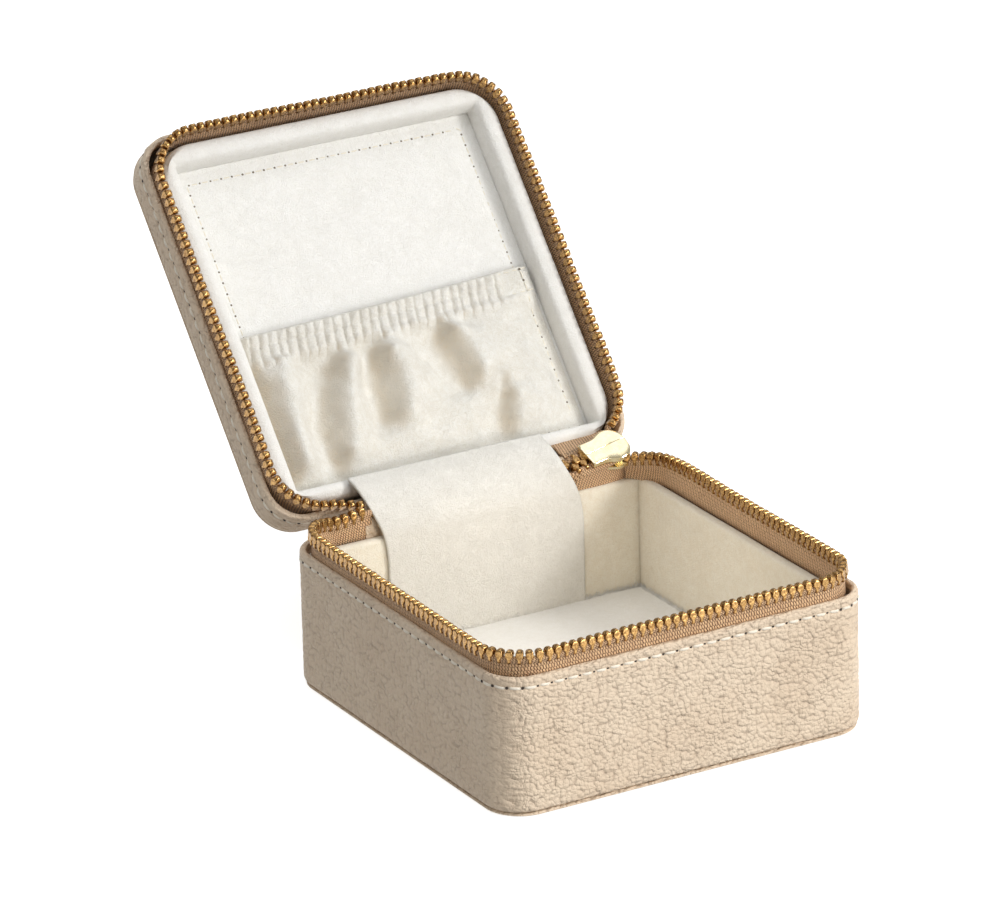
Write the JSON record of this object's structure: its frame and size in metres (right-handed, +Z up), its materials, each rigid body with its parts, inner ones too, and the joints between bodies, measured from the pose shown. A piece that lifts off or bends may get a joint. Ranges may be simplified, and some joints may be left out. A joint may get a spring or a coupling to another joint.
{
  "type": "travel jewelry case",
  "caption": "Square zip-around travel jewelry case with a hinged leather lid, suede-lined compartment, gathered lid pocket and metal zip.",
  "frame": {"origin": "centre of the flat underside of the base", "axes": "+Z up through the base, +X along the hinge line, -Y the front of the case and +Y the hinge side"},
  "size_m": [0.1039, 0.1813, 0.1184],
  "materials": {
    "leather": "pebble-grain beige leather, semi-matte",
    "suede": "ivory microsuede, soft nap",
    "plush": "short white plush pile",
    "tape": "bronze woven zip tape with a slight sheen",
    "brass": "antique brass zip teeth, worn bright at the tips",
    "gold": "polished pale gold",
    "thread": "beige polyester sewing thread",
    "elastic": "ivory ribbed elastic",
    "board": "stiff fibre board"
  },
  "bodies": {
    "base": {"base_bottom_leather": "leather", "base_leather_wall": "leather", "base_shell": "board", "base_lining_front": "suede", "base_lining_rear": "suede", "base_lining_left": "suede", "base_lining_right": "suede", "base_floor_pad": "plush", "base_zip_tape": "tape", "base_zip_teeth": "brass", "base_top_stop": "brass", "spine_base_half": "leather", "hinge_panel_base_half": "suede"},
    "lid": {"lid_leather_wall": "leather", "lid_top_leather": "leather", "lid_board": "board", "lid_padded_rim": "suede", "lid_floor_panel": "suede", "lid_pocket": "suede", "pocket_elastic": "elastic", "lid_zip_tape": "tape", "lid_zip_teeth": "brass", "lid_top_stop": "brass", "spine_lid_half": "leather", "hinge_panel_lid_half": "suede"},
    "rear_zip": {"rear_zip_teeth": "brass", "rear_zip_tape_lower": "tape", "rear_zip_tape_upper": "tape", "zip_bottom_stop": "brass"},
    "slider": {"zip_slider": "gold"},
    "pull": {"pull_tab": "gold"}
  },
  "joints": [
    {"name": "lid_hinge", "type": "hinge", "parent": "base", "child": "lid", "pos_m": [0, 0.0514, 0.0409], "axis": [1, 0, 0], "range_deg": [0, 130.8]},
    {"name": "rear_zip_fold", "type": "hinge", "parent": "base", "child": "rear_zip", "pos_m": [0.03703, 0.04875, 0.03983], "axis": [0.9903, 0.1392, 0], "range_deg": [0, 65.4]},
    {"name": "slider_travel", "type": "slide", "parent": "rear_zip", "child": "slider", "axis": [-0.9887, -0.0804, -0.1265], "range_m": [0, 0.003]},
    {"name": "pull_swing", "type": "hinge", "parent": "slider", "child": "pull", "pos_m": [0.03985, 0.05071, 0.03662], "axis": [0.1265, -0.9004, -0.4163], "range_deg": [0, 4]}
  ],
  "couplings": [
    {"joint": "rear_zip_fold", "follows": "lid_hinge", "ratio": 0.5}
  ]
}
